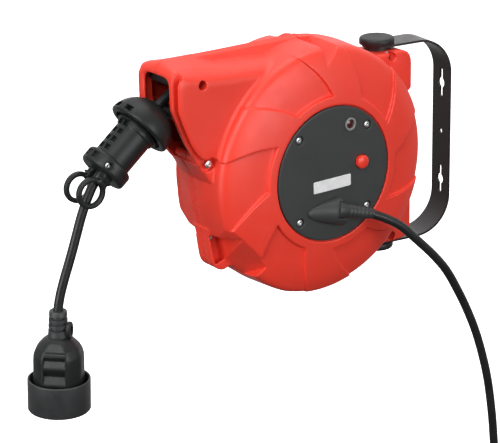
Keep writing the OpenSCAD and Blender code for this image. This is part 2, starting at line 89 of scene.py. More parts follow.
CAMERA_AT = (-1133.3, -1482.4, 610.4)
CAMERA_TURN = math.radians(-35.9)
CAMERA_RISE = math.radians(19.9)
CAMERA_ROLL = math.radians(-1.15)
CAMERA_LENS = 141.4
FLOOR_Z = -0.6


def make_camera():
    data = bpy.data.cameras.new("camera")
    data.lens = CAMERA_LENS
    data.sensor_width = 36
    data.clip_start = 0.1
    data.clip_end = 100
    camera = put("camera", data)
    a, e, roll = CAMERA_TURN, CAMERA_RISE, CAMERA_ROLL
    back = Vector((math.sin(a) * math.cos(e), -math.cos(a) * math.cos(e), math.sin(e)))
    level = Vector((math.cos(a), math.sin(a), 0))
    up = back.cross(level)
    right = level * math.cos(roll) + up * math.sin(roll)
    top = up * math.cos(roll) - level * math.sin(roll)
    turn = Matrix((right, top, back)).transposed().to_4x4()
    turn.translation = Vector(CAMERA_AT) * MM
    camera.matrix_world = REEL @ turn
    bpy.context.scene.camera = camera


def add_lamp(name, at, towards, size, energy):
    data = bpy.data.lights.new(name, "AREA")
    data.shape = "RECTANGLE"
    data.size, data.size_y = size
    data.energy = energy
    lamp = put(name, data)
    lamp.location = at
    lamp.rotation_mode = "QUATERNION"
    lamp.rotation_quaternion = (Vector(towards) - Vector(at)).to_track_quat("-Z", "Y")


PALE_WAY = (0.42, 0.6, 0.68)      # the room is pale behind the object and above, darker in front
FLOOR_HALF = 30


def make_studio():
    world = bpy.data.worlds.new("studio")
    world.use_nodes = True
    tree = world.node_tree
    facing = tree.nodes.new("ShaderNodeVectorMath")
    facing.operation = "DOT_PRODUCT"
    facing.inputs[1].default_value = PALE_WAY
    tree.links.new(tree.nodes.new("ShaderNodeTexCoord").outputs["Generated"], facing.inputs[0])
    pale = new_node(tree, "MapRange", Value=facing.outputs["Value"], From_Min=-0.1, From_Max=0.8,
                    To_Min=0.1, To_Max=0.95)
    tree.links.new(pale.outputs["Result"], tree.nodes["Background"].inputs["Strength"])
    tree.nodes["Background"].inputs["Color"].default_value = (1, 1, 1, 1)
    bpy.context.scene.world = world
    middle = (-0.2, 0, 0)
    add_lamp("key", (-1.9, -1.3, 1.7), middle, (1.4, 1.2), 38)
    add_lamp("fill", (0.5, -2.8, 0.5), middle, (2.0, 1.6), 47)
    add_lamp("side", (-2.6, -0.35, 0.25), middle, (1.2, 1.4), 30)
    add_lamp("top", (0.1, 0.3, 2.4), middle, (1.8, 1.8), 20)
    mesh = bpy.data.meshes.new("floor")
    corners = [(x * FLOOR_HALF, y * FLOOR_HALF, FLOOR_Z)
               for x, y in ((-1, -1), (1, -1), (1, 1), (-1, 1))]
    mesh.from_pydata(corners, [], [(0, 1, 2, 3)])
    floor = put("floor", mesh)
    paper = bpy.data.materials.new("floor_paper")
    paper.use_nodes = True
    shader = paper.node_tree.nodes["Principled BSDF"]
    for key, value in (("Base Color", (0.9, 0.9, 0.9, 1)), ("Roughness", 1),
                       ("Specular IOR Level", 0), ("Emission Color", (1, 1, 1, 1)),
                       ("Emission Strength", 0.95)):
        shader.inputs[key].default_value = value
    mesh.materials.append(paper)
    floor.visible_diffuse = False
    floor.visible_glossy = False
    bpy.context.scene.view_settings.view_transform = "Standard"


make_camera()
make_studio()


# ---------- materials ----------

class Recipe:
    """Short hand for a node material on one Principled shader"""

    def __init__(self, name):
        self.material = bpy.data.materials.new(name)
        self.material.use_nodes = True
        self.tree = self.material.node_tree
        self.shader = self.tree.nodes["Principled BSDF"]
        self.place = self.tree.nodes.new("ShaderNodeTexCoord").outputs["Object"]

    def set(self, **values):
        for key, value in values.items():
            self.shader.inputs[key.replace("_", " ")].default_value = value

    def link(self, a, b):
        self.tree.links.new(a, b)

    def noise(self, scale, detail=3.0, rough=0.5, stretch=None):
        source = self.place
        if stretch:
            source = new_node(self.tree, "Mapping", Scale=stretch, Vector=source).outputs["Vector"]
        return new_node(self.tree, "TexNoise", Scale=scale, Detail=detail, Roughness=rough,
                        Vector=source).outputs["Fac"]

    def span(self, source, low, high, start=0.3, end=0.7):
        return new_node(self.tree, "MapRange", From_Min=start, From_Max=end, To_Min=low,
                        To_Max=high, Value=source).outputs["Result"]

    def blend(self, factor, first, second):
        node = self.tree.nodes.new("ShaderNodeMix")
        node.data_type = "RGBA"
        self.link(factor, node.inputs["Factor"])
        for value, socket in ((first, node.inputs[6]), (second, node.inputs[7])):
            if isinstance(value, tuple):
                socket.default_value = (*value, 1)
            else:
                self.link(value, socket)
        return node.outputs[2]

    def bump(self, height, strength, distance, below=None):
        node = new_node(self.tree, "Bump", Strength=strength, Distance=distance, Height=height)
        if below:
            self.link(below, node.inputs["Normal"])
        return node.outputs["Normal"]

    def surface(self, colour, roughness, normal):
        """The finished material, with what varies over it linked in"""
        self.link(colour, self.shader.inputs["Base Color"])
        self.link(roughness, self.shader.inputs["Roughness"])
        self.link(normal, self.shader.inputs["Normal"])
        return self.material

    def painted_highlight_mask(self, high, start, end):
        """Painted highlight mask: 0 where the surface is flat, and high on its outer edges"""
        geometry = self.tree.nodes.new("ShaderNodeNewGeometry")
        return self.span(geometry.outputs["Pointiness"], 0, high, start, end)

    def patchy(self, source, colour, dark, pale):
        return self.blend(self.span(source, 0, 1), shade(colour, dark), shade(colour, pale))


def shade(colour, factor):
    return tuple(min(1, c * factor) for c in colour)


def moulded(name, colour, rough, drift=0.08, grain=1100, depth=0.00006, edge_highlight=0.0,
            shine=0.5):
    """Moulded plastic: a faint drift of colour, uneven gloss, a fine grain, and outer edges painted
    paler as a painted highlight
    """
    r = Recipe(name)
    r.set(Specular_IOR_Level=shine)
    base = r.patchy(r.noise(14, 4), colour, 1 - drift, 1 + drift)
    # Outer edges blended towards a paler colour: a painted highlight
    if edge_highlight:
        base = r.blend(r.painted_highlight_mask(edge_highlight, 0.52, 0.62), base, shade(colour, 1.5))
    slow = r.bump(r.noise(35, 2), 0.12, 0.0006)
    return r.surface(base, r.span(r.noise(60, 5), rough - 0.05, rough + 0.07),
                     r.bump(r.noise(grain, 2), 0.5, depth, slow))


def metal(name, colour, rough, stretch=(1, 1, 12), metallic=1.0):
    """Plated or brushed metal, with short draw marks and a few dull patches"""
    r = Recipe(name)
    r.set(Metallic=metallic)
    return r.surface(r.patchy(r.noise(90, 4), colour, 0.86, 1.05),
                     r.span(r.noise(260, 4, 0.6, stretch), rough - 0.08, rough + 0.12),
                     r.bump(r.noise(900, 3, 0.6, stretch), 0.25, 0.00004))


def coated(name, colour, rough):
    """Powder-coated metal: orange peel under a satin film, its edges painted paler as a painted
    highlight
    """
    r = Recipe(name)
    r.set(Coat_Weight=0.15, Coat_Roughness=0.3)
    film = r.patchy(r.noise(22, 4), colour, 0.85, 1.15)
    # Edges blended towards a much paler colour: a painted highlight
    return r.surface(r.blend(r.painted_highlight_mask(0.5, 0.53, 0.66), film, shade(colour, 2.4)),
                     r.span(r.noise(120, 4), rough - 0.06, rough + 0.08),
                     r.bump(r.noise(700, 3), 0.35, 0.00008))


def sheath(name, colour, rough, shine=0.5):
    """Flexible cable sheath: satin, with scuffs and a faint lay of the cores under it"""
    r = Recipe(name)
    r.set(Specular_IOR_Level=shine)
    slow = r.bump(r.noise(160, 2), 0.3, 0.0003)
    return r.surface(r.patchy(r.noise(45, 5), colour, 0.8, 1.25),
                     r.span(r.noise(150, 5), rough - 0.07, rough + 0.1),
                     r.bump(r.noise(1500, 2), 0.35, 0.00005, slow))


def glassy(name, colour, rough):
    """Deep coloured lens: dark, glossy, with faint moulding ripples"""
    r = Recipe(name)
    r.set(Coat_Weight=0.6, Coat_Roughness=0.08)
    return r.surface(r.patchy(r.noise(300, 3), colour, 0.7, 1.3),
                     r.span(r.noise(200, 3), rough - 0.04, rough + 0.05),
                     r.bump(r.noise(400, 2), 0.15, 0.0001))


def woven(name, colour, pitch):
    """Hook-and-loop strap: a tight weave with a soft sheen"""
    r = Recipe(name)
    weave = []
    for axis in ("X", "Z"):
        node = new_node(r.tree, "TexWave", Scale=pitch, Distortion=0.6, Vector=r.place)
        node.bands_direction = axis
        weave.append(node.outputs["Fac"])
    both = r.tree.nodes.new("ShaderNodeMath")
    both.operation = "MULTIPLY"
    r.link(weave[0], both.inputs[0])
    r.link(weave[1], both.inputs[1])
    r.set(Sheen_Weight=0.4)
    return r.surface(r.blend(both.outputs[0], shade(colour, 0.6), shade(colour, 1.6)),
                     r.span(r.noise(300, 3), 0.75, 0.95), r.bump(both.outputs[0], 0.6, 0.0004))


# In moulded, the argument after depth sets the strength of the painted highlight on outer edges
FINISH = {
    "strap_paint": coated("strap_paint", (0.013, 0.008, 0.008), 0.3),
    "black_cap": moulded("black_cap", (0.008, 0.008, 0.009), 0.48, edge_highlight=0.35),
    "steel": metal("steel", (0.66, 0.66, 0.67), 0.32),
    "bush_plastic": moulded("bush_plastic", (0.014, 0.014, 0.014), 0.5),
    "red_housing": moulded("red_housing", (0.79, 0.042, 0.022), 0.42, 0.04, 1300, 0.00005, 0.25),
    "cover_plastic": moulded("cover_plastic", (0.032, 0.034, 0.034), 0.5, edge_highlight=0.3),
    "plate_metal": metal("plate_metal", (0.9, 0.9, 0.91), 0.38, (12, 1, 1), 0.2),
    "bezel_plastic": moulded("bezel_plastic", (0.22, 0.22, 0.215), 0.35),
    "lens_plastic": glassy("lens_plastic", (0.05, 0.008, 0.006), 0.16),
    "button_plastic": moulded("button_plastic", (0.78, 0.04, 0.022), 0.3),
    "black_plastic": moulded("black_plastic", (0.012, 0.0135, 0.0135), 0.4, edge_highlight=0.4,
                             shine=0.3),
    "cable_sheath": sheath("cable_sheath", (0.011, 0.0115, 0.012), 0.35, shine=0.36),
    "black_rubber": sheath("black_rubber", (0.026, 0.027, 0.028), 0.48),
    "brass": metal("brass", (0.72, 0.52, 0.22), 0.3),
    "spool_plastic": moulded("spool_plastic", (0.16, 0.165, 0.165), 0.5),
    "insulator": moulded("insulator", (0.58, 0.52, 0.38), 0.45),
    "brush_carbon": moulded("brush_carbon", (0.03, 0.027, 0.025), 0.6),
    "spring_steel": metal("spring_steel", (0.12, 0.15, 0.22), 0.3),
    "tie_fabric": woven("tie_fabric", (0.012, 0.012, 0.012), 500),
}
# Slot of each CAD node that stays in view
NODE_SLOTS = {
    "steel": ["upper_pivot_pin", "lower_pivot_pin", "axle", "spring_arbor", "pawl_pin",
              "roller_pins", "pawl", "spring_case", "spring_lid"],
    "bush_plastic": ["upper_bush", "lower_bush"],
    "black_plastic": ["breaker_body", "upper_roller", "lower_roller"],
    "spool_plastic": ["spool_hub", "spool_front_flange", "spool_rear_flange", "ratchet_ring"],
    "insulator": ["slip_ring_disc", "brush_holder"],
    "brass": ["slip_rings", "front_bush", "rear_bush"],
    "brush_carbon": ["brushes"],
    "spring_steel": ["power_spring"],
}


def finish_cad_nodes():
    for slot, names in NODE_SLOTS.items():
        for name in names:
            node = frame["nodes"][name]
            node.data.materials.clear()
            node.data.materials.append(FINISH[slot])


finish_cad_nodes()


# ---------- mesh helpers ----------

def smax(a, b, k):
    """Larger of a and b, with the crease between them rounded over about k"""
    h = np.maximum(k - np.abs(a - b), 0) / k
    return np.maximum(a, b) + h * h * k / 4


def smin(a, b, k):
    return -smax(-a, -b, k)


def every(first, *others, k=0.01):
    for other in others:
        first = smax(first, other, k)
    return first


def convex(u, v, points, k=0.01):
    """Distance outside a line of corners that turns one way, with the outside on its right"""
    planes = []
    for (u0, v0), (u1, v1) in zip(points, points[1:]):
        length = math.hypot(u1 - u0, v1 - v0)
        planes.append(((u - u0) * (v1 - v0) - (v - v0) * (u1 - u0)) / length)
    return every(*planes, k=k)


def block(u, v, w, half, k=0.01):
    """Box round the origin with the half sizes given"""
    return every(np.abs(u) - half[0], np.abs(v) - half[1], np.abs(w) - half[2], k=k)


def level_surface(field, low, high, step):
    """Vertices and faces where field(x, y, z) is zero: one vertex per cell of a grid, then
    each slid onto the surface. The field is positive outside."""
    axes = [np.arange(a - 1.5 * step, b + 2 * step, step) for a, b in zip(low, high)]
    value = field(*np.meshgrid(*axes, indexing="ij", sparse=True))
    size = [len(a) for a in axes]
    value = np.broadcast_to(value, size).astype(np.float32)
    inside = value < 0
    cells, points, faces = [], [], []
    for axis in range(3):
        near = tuple(slice(0, -1) if k == axis else slice(None) for k in range(3))
        far = tuple(slice(1, None) if k == axis else slice(None) for k in range(3))
        at = np.argwhere(inside[near] != inside[far])
        after = at.copy()
        after[:, axis] += 1
        a, b = value[tuple(at.T)], value[tuple(after.T)]
        point = at.astype(float)
        point[:, axis] += a / (a - b)
        one, two = (axis + 1) % 3, (axis + 2) % 3
        ring = []
        for i, j in ((-1, -1), (0, -1), (0, 0), (-1, 0)):
            cell = at.copy()
            cell[:, one] += i
            cell[:, two] += j
            ring.append(np.ravel_multi_index(cell.T, size))
        ring = np.stack(ring, 1)
        faces.append(np.where((a < 0)[:, None], ring, ring[:, ::-1]))
        cells.append(ring.ravel())
        points.append(np.repeat(point, 4, 0))
    used, which = np.unique(np.concatenate(cells), return_inverse=True)
    points = np.concatenate(points)
    count = np.bincount(which)
    verts = np.stack([np.bincount(which, points[:, k]) / count for k in range(3)], 1)
    verts = verts * step + [a[0] for a in axes]
    nudge = 0.1 * step
    for _ in range(2):
        slope = np.stack([field(*(verts + e).T) - field(*(verts - e).T)
                          for e in nudge * np.eye(3)], 1) / (2 * nudge)
        steep = np.maximum((slope ** 2).sum(1), 0.3)
        move = np.clip(field(*verts.T) / steep, -0.4 * step, 0.4 * step)
        verts -= move[:, None] * slope
    return verts, np.searchsorted(used, np.concatenate(faces))


def lathe(profile, sides=72):
    """A closed (radius, height) outline turned round Z"""
    rings, verts, faces = [], [], []
    for radius, height in profile:
        if radius < 1e-6:
            rings.append([len(verts)])
            verts.append((0, 0, height))
            continue
        rings.append(list(range(len(verts), len(verts) + sides)))
        for k in range(sides):
            a = 2 * math.pi * k / sides
            verts.append((radius * math.cos(a), radius * math.sin(a), height))
    for first, second in zip(rings, rings[1:] + rings[:1]):
        for k in range(sides):
            a, b = first[k % len(first)], first[(k + 1) % len(first)]
            c, d = second[(k + 1) % len(second)], second[k % len(second)]
            corners = list(dict.fromkeys((a, b, c, d)))
            if len(corners) > 2:
                faces.append(corners)
    return np.array(verts, float), faces


def prism(outline, low, high):
    """An (x, y) outline extruded along Z"""
    n = len(outline)
    verts = [(x, y, z) for z in (low, high) for x, y in outline]
    faces = [list(range(n))[::-1], list(range(n, 2 * n))]
    faces += [[k, (k + 1) % n, n + (k + 1) % n, n + k] for k in range(n)]
    return np.array(verts, float), faces


def arc(centre, radius, start, end, steps=12):
    """Points of an arc, from angle start to angle end in degrees"""
    angles = [math.radians(start + (end - start) * k / steps) for k in range(steps + 1)]
    return [(centre[0] + radius * math.cos(a), centre[1] + radius * math.sin(a)) for a in angles]


def joined(*shapes):
    verts, faces, start = [], [], 0
    for v, f in shapes:
        verts.append(np.asarray(v, float))
        faces += [[i + start for i in face] for face in f]
        start += len(v)
    return np.concatenate(verts), faces


def placed(shape, matrix):
    """A shape after a 4x4 matrix in millimetres"""
    verts, faces = shape
    m = np.array(matrix)
    return verts @ m[:3, :3].T + m[:3, 3], faces


def new_object(name, shape, matrix=REEL):
    verts, faces = shape
    mesh = bpy.data.meshes.new(name)
    mesh.from_pydata((np.asarray(verts) * MM).tolist(), [], [list(map(int, f)) for f in faces])
    mesh.transform(matrix)
    return put(name, mesh)


def settle_modifiers(obj):
    """Puts the result of the object's modifiers into its mesh"""
    graph = bpy.context.evaluated_depsgraph_get()
    mesh = bpy.data.meshes.new_from_object(obj.evaluated_get(graph))
    obj.modifiers.clear()
    obj.data = mesh


def carve(obj, shapes, operation="DIFFERENCE"):
    """Cuts shapes in the row frame out of an object, or keeps what is common to them"""
    for shape in shapes:
        tool = new_object("tool", shape, ROW)
        cut = obj.modifiers.new("cut", "BOOLEAN")
        cut.operation = operation
        cut.solver = "EXACT"
        cut.object = tool
        settle_modifiers(obj)
        bpy.data.objects.remove(tool)


def thin(obj, most):
    """Fewer triangles, where the surface is flat enough to allow it"""
    triangles = sum(len(p.vertices) - 2 for p in obj.data.polygons)
    if triangles > most:
        decimate = obj.modifiers.new("thin", "DECIMATE")
        decimate.ratio = most / triangles
        settle_modifiers(obj)


def dress(obj, body, slot, nodes=(), crease=40, soften=0.0):
    """Shading, material, body and stood-for nodes of one piece; soften is a bevel's width"""
    if obj.type == "MESH":
        obj.data.shade_smooth()
        obj.data.set_sharp_from_angle(angle=math.radians(crease))
        if soften:
            bevel = obj.modifiers.new("soft_edges", "BEVEL")
            bevel.width = soften * MM
            bevel.segments = 3
            bevel.limit_method = "ANGLE"
            bevel.angle_limit = math.radians(32)
    obj.data.materials.clear()
    obj.data.materials.append(FINISH[slot])
    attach(obj, body)
    if nodes:
        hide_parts(*nodes)
    return obj


def piece(name, shape, slot, nodes=(), crease=40, body="housing", most=0, soften=0.0):
    """A dressed object from a shape in the reel's frame, thinned to at most so many triangles"""
    obj = new_object(name, shape)
    if most:
        thin(obj, most)
    return dress(obj, body, slot, nodes, crease, soften)


def moved(x=0.0, y=0.0, z=0.0):
    return Matrix.Translation((x, y, z))


def turned_by(degrees, axis):
    return Matrix.Rotation(math.radians(degrees), 4, axis)


UPRIGHT = turned_by(90, "X")        # +Z to -Y, +Y to +Z


def axis_matrix(origin, direction, side=(0, 1, 0)):
    """Frame at origin with +Z along direction and +Y as near to side as it can be"""
    z = Vector(direction).normalized()
    x = Vector(side).cross(z).normalized()
    m = Matrix((x, z.cross(x), z)).transposed().to_4x4()
    m.translation = Vector(origin)
    return m


# ---------- cords ----------

OUTLET_D = 9.2
FEED_D = 9.0
OUTLET_ROUTE = [
    (-126, 0, 103.5), (-141, 0, 100.8), (-152.7, 0, 94.9), (-165, 0, 86), (-188.3, 0, 67.4),
    (-211.6, 0, 48.8), (-228.4, 0, 35.4), (-235.5, 0, 29), (-242, 0, 20.3), (-248.3, 0, 8.5),
    (-253.8, 0, -4), (-259, 0, -18), (-264.5, 0, -33), (-270.4, 0, -48), (-276, 0, -62),
    (-280.8, 0, -76), (-283.7, 0, -89), (-284.3, 0, -102), (-284.75, 0, -112),
]
LEAD_IN_ROUTE = [(-36, 0, 101), (-58, 0, 102), (-82, 0, 103), (-106, 0, 104), (-125.5, 0, 103.5)]
FEED_ROUTE = [
    (3, -69, -35.5), (14, -72.5, -37.5), (26, -77, -41), (44, -83, -49), (61, -88, -60),
    (78, -92, -77), (97.5, -95, -97), (115, -96, -118), (130.5, -96, -143),
    (143.5, -96, -167), (156, -96, -194), (167, -96, -225), (176, -96, -258),
    (183, -96, -298), (187.5, -96, -336), (192, -96, -362), (201, -96, -386), (212, -96, -410),
]
COIL_AT = (170, -82.5, -440)
COIL_R = 50
COIL_TURNS = 3
TAIL_ROUTE = [(220, -69, -455), (220, -69, -470), (220, -69, -490), (220, -69, -508)]


def smooth_route(points, spacing=4.0):
    """Points close together on one smooth curve through the given ones"""
    p = np.array(points, float)
    p = np.vstack([2 * p[0] - p[1], p, 2 * p[-1] - p[-2]])
    made = []
    for a, b, c, d in zip(p, p[1:], p[2:], p[3:]):
        steps = max(2, round(np.linalg.norm(c - b) / spacing))
        for t in np.arange(steps) / steps:
            made.append(0.5 * (2 * b + (c - a) * t + (2 * a - 5 * b + 4 * c - d) * t ** 2
                               + (3 * b - a - 3 * c + d) * t ** 3))
    return made + [p[-2]]


def cord_piece(name, points, diameter, nodes, body="housing", sides=16):
    curve = bpy.data.curves.new(name, "CURVE")
    curve.dimensions = "3D"
    curve.bevel_depth = diameter / 2 * MM
    curve.bevel_resolution = sides // 2 - 1
    curve.use_fill_caps = True
    spline = curve.splines.new("POLY")
    spline.points.add(len(points) - 1)
    for point, at in zip(spline.points, points):
        point.co = (*row_point(at), 1)
    spline.use_smooth = True
    return dress(put(name, curve), body, "cable_sheath", nodes)


def coil_points():
    """Turns of the stored feed cord side by side, from its front to its back"""
    per_turn = 40
    made = []
    for k in range(COIL_TURNS * per_turn + 1):
        a = 2 * math.pi * k / per_turn
        y = FEED_ROUTE[-1][1] + FEED_D * k / per_turn
        made.append((COIL_AT[0] + COIL_R * math.cos(a), y, COIL_AT[2] - COIL_R * math.sin(a)))
    return made


def make_cords():
    outlet = smooth_route(OUTLET_ROUTE)
    outlet_cable = cord_piece("outlet_cord", outlet, OUTLET_D, ["outlet_cable"])
    cord_piece("outlet_lead_in", smooth_route(LEAD_IN_ROUTE), OUTLET_D, ["outlet_cable"])
    feed = smooth_route(FEED_ROUTE + coil_points()[::5] + TAIL_ROUTE)
    return outlet_cable, outlet, cord_piece("feed_line", feed, FEED_D,
                                            ["feed_cord", "feed_coil", "feed_tail"])


OUTLET_PIECE, OUTLET_LINE, FEED_PIECE = make_cords()


# ---------- housing ----------

RIM_R = 125.8
FACE_D = 59
RING_R = 78
WALL = 3
DUCT_HALF = 35
LIP_HALF = 29.2
MOUTH_HALF = 20.5
SEAM = 0.15
LUG_HALF = 25
LUG_X = 128
LUG_TOP = 97.3
LUG_DROP = 7.0          # the lower lug is this much further from the spool's axis
FLUSH = [(128, -1), (127, 20), (RIM_R, 43), (114.3, 51), (RING_R, FACE_D), (0, FACE_D)]
PANEL = [(128, -1), (127, 20), (125.8, 40), (124.8, 42.3), (112, 48.8), (RING_R, 55), (0, 55)]
DUCT_FRONT = [(-165.6, 130), (-165.6, 88), (-161, 74), (-152, 53), (-128, 12)]
CHEEK_LOW = ([-161.7, -155, -147, -137, -126, -117, -108.6], [76, 60, 45.5, 36.2, 33.5, 33.5, 41])
# Height of the duct's top along X, at several depths
TOP_DEPTHS = [0, 5.5, 8.5, 22, 33.5, 40]
TOP_LINES = [
    ([-165, -50], [130.2, 130.2]),
    ([-165, -125, -100, -50], [129.5, 128.9, 127.2, 126.7]),
    ([-165, -128, -105, -86, -50], [129.1, 127.8, 122.2, 121, 119.2]),
    ([-165, -135, -106, -71, -40], [126.6, 123, 119, 117, 116.5]),
    ([-165, -131, -105, -70, -46], [122.8, 115.2, 112.8, 111, 110.5]),
    ([-165, -131, -105, -70, -46], [118.5, 111, 108.6, 106.8, 106.3]),
]
MOUTH_SCREW = (-129, 29.5)
TOP_SCREW = (-136, 109)
LOWER_SCREW = (-113.5, -54)
# Screws that join the halves: place, its bore's start and radius, its head's depth, its length
JOINING_SCREWS = [
    (MOUTH_SCREW, 30, 4.6, 31.5, 38), (TOP_SCREW, 14, 4.5, 15.5, 22),
    (LOWER_SCREW, 5, 3.6, 7, 13), ((102, 93), 15, 4.8, 17, 9), ((102, -98), 15, 4.8, 17, 9),
]
BLADES = 6
BLADE_TURN = 46         # angle of the first sunk panel, in degrees
BLADE_HALF = 17         # half of the angle that a sunk panel spans
BLADE_SWEEP = 15        # the panels lean this much further round towards the rim
FULL_TURN, FULL_HALF, FULL_BY = -112, 33, 2.6       # the drum is fuller at its lower left
AXLE_RING_R = 52
SEAT_R, SEAT_D = 69.2, 55.7                         # the side cover's seat
PIN_AT = (0, -41, 84)                               # boss that holds the pawl's pin
REAR_LESS = 0.033                                   # the rear half's rim is smaller by this share


def drum_field(x, d, z):
    """Drum of one half: a flush face with sunk panels between its blades"""
    r = np.hypot(x, z)
    angle = np.degrees(np.arctan2(z, x))
    fuller = np.clip(1 - np.abs(angle - FULL_TURN) / FULL_HALF, 0, 1)
    r = r - FULL_BY * (fuller * np.clip((r - 92) / 20, 0, 1))
    sweep = BLADE_SWEEP * np.clip((r - RING_R) / 42, 0, 1.2)
    pitch = 360 / BLADES
    turned = (angle - sweep - BLADE_TURN + pitch / 2) % pitch - pitch / 2
    side = (BLADE_HALF - np.abs(turned)) * np.radians(r)
    panel = smin(side, r - RING_R, 1.0)
    flush = convex(r, d, FLUSH, 5)
    sunk = convex(r, d, PANEL, 5)
    return smax(flush, smin(panel, sunk, 1.4), 1.0)


def duct_top(x, d):
    """Height of the duct's top, between the lines on both sides of the depth"""
    lines = [np.interp(x, *line) for line in TOP_LINES]
    z = lines[0]
    for k in range(1, len(lines)):
        share = np.clip((d - TOP_DEPTHS[k - 1]) / (TOP_DEPTHS[k] - TOP_DEPTHS[k - 1]), 0, 1)
        z = z + (lines[k] - lines[k - 1]) * share
    return z


def duct_field(x, d, z):
    """Cable duct of one half: a lip round its mouth, and a cheek below it that stands out"""
    front = convex(x, z, DUCT_FRONT)
    top = z - duct_top(x, d)
    shape = smax(front, top, 11)
    shape = every(shape, x + 1, 10 - z)
    lip = smax(shape, d - LIP_HALF, 3)
    cheek = smax(shape, d - DUCT_HALF, 8)
    cheek = smax(cheek, np.interp(x, *CHEEK_LOW) - z, 2)
    return smin(lip, cheek, 0.8)


def lug_field(x, d, z, top, low):
    """One pivot lug: a block with a rounded outer corner, from height low to top"""
    corner = smax(x - LUG_X, z - top, 15)
    under = ((low - z) * 28 + (x - LUG_X) * 17) / math.hypot(28, 17)
    return every(smax(corner, d - LUG_HALF, 3), under, 60 - x, k=1)


def beyond(x, d, z, point, normal):
    """Distance past a plane, on the side that its normal points to"""
    return sum((value - at) * n for value, at, n in zip((x, d, z), point, normal))


def pocket_field(x, d, z):
    """Hollow in the lower lug, running out to the right in the drum's side"""
    floor = beyond(x, d, z, (-103.4, 46.8, -47.2), (-0.976, 0.076, -0.202))
    right = beyond(x, d, z, (-104.1, 26.5, -66), (0.202, 0.652, -0.731))
    left = beyond(x, d, z, (-118, 0, -48), (-0.979, 0, -0.205))
    roof = beyond(x, d, z, (-114.5, 1.4, -52.2), (0, -0.11, 1))
    return every(-floor, right, left, roof, 2.5 - d, k=1)


def facet_field(x, d, z):
    """Flat chamfer on the drum's side next to the hollow, up to the chamfer's last edge"""
    return np.minimum(beyond(x, d, z, (-105.5, 47.2, -47.3), (-0.709, 0.387, -0.590)),
                      beyond(x, d, z, (-82, 16, -98), (-0.691, -0.213, 0.691)))


def from_axis(x, z, at):
    return np.hypot(x - at[0], z - at[1])


def groove_field(x, d, z, front):
    """Groove down the mouth's frame, that ends round the screw below it"""
    run = every(np.abs(d - 29.8) - 2.6, -(front + 9), z - 124, 30 - z, k=0.6)
    end = every(from_axis(x, z, MOUTH_SCREW) - 7.5, 26 - d, k=1)
    return np.minimum(run, end)


def half_body_field(x, d, z):
    """Solid outside of one half, before it is hollowed"""
    drum = drum_field(x, d, z)
    duct = duct_field(x, d, z)
    upper = lug_field(x, d, z, LUG_TOP, 57)
    lower = lug_field(x, d, -z, LUG_TOP + LUG_DROP, 64)
    outline = convex(x, z, [(-98.5, -40), (-119.5, -44), (-119.2, -50), (-114.5, -80),
                            (-110.8, -86), (-105.3, -89.5), (-100, -90), (-82, -81)], 2)
    lug = smax(outline, d - 11.8, 1.5)
    drum = smax(drum, facet_field(x, d, z), 0.8)
    body = smin(drum, duct, 3)
    body = smin(body, np.minimum(upper, lower), 3)
    body = smin(body, lug, 3)
    notch_slope = 0.6255 * (x - 15.5) - 0.0705 * (d - 5.5) - 0.777 * (z - 125.2)
    notch = every(-(x + 3), notch_slope, 4.6 - d, k=0.2)
    body = smax(body, -notch, 0.3)
    body = smax(body, -groove_field(x, d, z, convex(x, z, DUCT_FRONT)), 1)
    body = smax(body, -pocket_field(x, d, z), 1.5)
    return body, drum, duct


def shell_field(x, y, z):
    """Front half of the housing"""
    d = -y
    r = np.hypot(x, z)
    body, drum, duct = half_body_field(x, d, z)
    hollow = np.maximum(body + WALL, np.minimum(drum + WALL, duct + WALL + 0.5))
    ledge = every(AXLE_RING_R - r, r - RING_R, 53 - d)
    hollow = np.maximum(hollow, -ledge)
    boss = np.minimum(from_axis(x, z, MOUTH_SCREW), from_axis(x, z, TOP_SCREW)) - 6
    lower_boss = from_axis(x, z, LOWER_SCREW) - 5
    hollow = np.maximum(hollow, -np.minimum(boss, lower_boss))
    shell = smax(body, -hollow, 0.6)
    mouth = smax(every(d - MOUTH_HALF, 29 - z, x + 100), z - 117, 10)
    mouth = np.maximum(mouth, -boss)
    shell = smax(shell, -mouth, 3.5)
    seat = smax(r - SEAT_R, SEAT_D - d, 0.5)
    shell = smax(shell, -seat, 0.8)
    shell = smax(shell, -(r - AXLE_RING_R), 0.5)
    for at, start, radius, _, _ in JOINING_SCREWS:
        hole = smax(from_axis(x, z, at) - radius, start - d, 0.3)
        shell = smax(shell, -hole, 0.8)
    return np.maximum(shell, SEAM - d)


def make_housing():
    low, high = (-168, -60, -130), (129, 0, 131)
    shape = level_surface(shell_field, low, high, 1.0)
    pin_boss = placed(lathe([(2.6, 0), (6, 0), (6, 12), (2.6, 12)], 40),
                      moved(*PIN_AT) @ UPRIGHT)
    piece("front_housing", joined(shape, pin_boss), "red_housing", ["front_shell"], 50,
          most=185000)
    verts, faces = shape
    x, y, z = verts.T
    beside_duct = np.maximum(np.clip((x + 105) / 35, 0, 1), np.clip((38 - z) / 15, 0, 1))
    shrink = REAR_LESS * np.clip((-y - 8) / 24, 0, 1) * np.clip((z + 55) / 40, 0, 1)
    shrink = 1 - shrink * beside_duct
    behind = verts * np.stack([shrink, -np.ones(len(verts)), shrink], 1)
    piece("rear_housing", (behind, faces[:, ::-1]), "red_housing", ["rear_shell"], 50,
          most=150000)


make_housing()


# ---------- screws ----------

